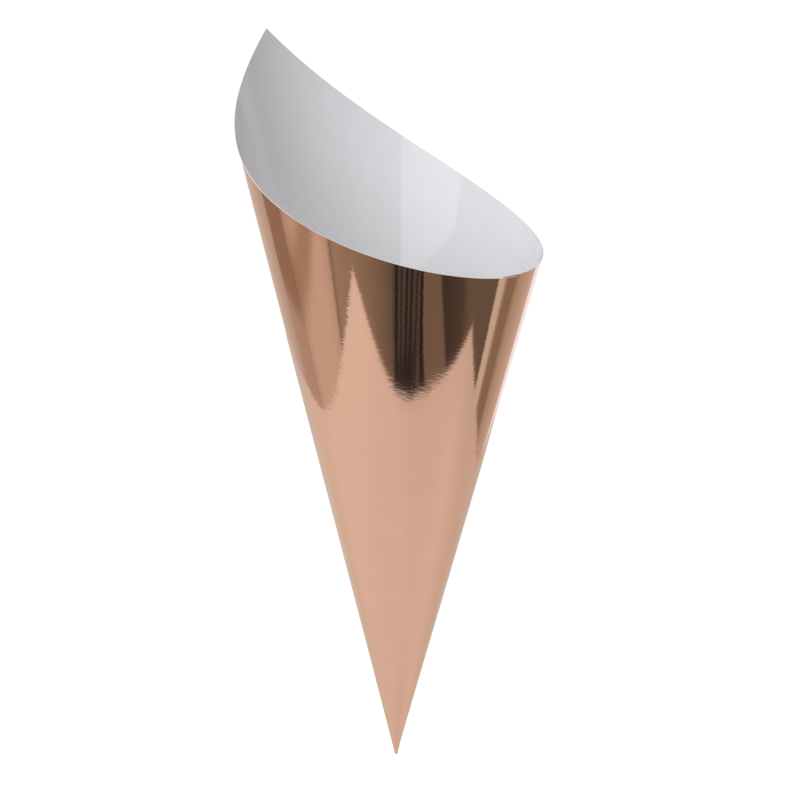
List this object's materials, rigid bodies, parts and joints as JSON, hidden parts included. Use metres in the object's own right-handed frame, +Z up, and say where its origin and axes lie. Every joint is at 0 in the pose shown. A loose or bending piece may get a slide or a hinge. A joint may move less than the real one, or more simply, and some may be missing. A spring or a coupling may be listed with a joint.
{
  "type": "paper snack cone",
  "caption": "Open paper snack cone rolled from a square foil-faced sheet, with a corner peak standing above the mouth and a glued lap down the side.",
  "frame": {"origin": "on the surface that the cone lies on, under the middle of its bounding box", "axes": "+Z up off the surface, +Y from the tip towards the mouth along the strip of wall that it lies on, +X to the right seen from the tip"},
  "size_m": [0.0884, 0.2314, 0.0801],
  "materials": {
    "foil_paper": "rose gold mirror foil outside, glossy white lining inside"
  },
  "bodies": {
    "root": {"paper_cone": "foil_paper"}
  },
  "joints": []
}
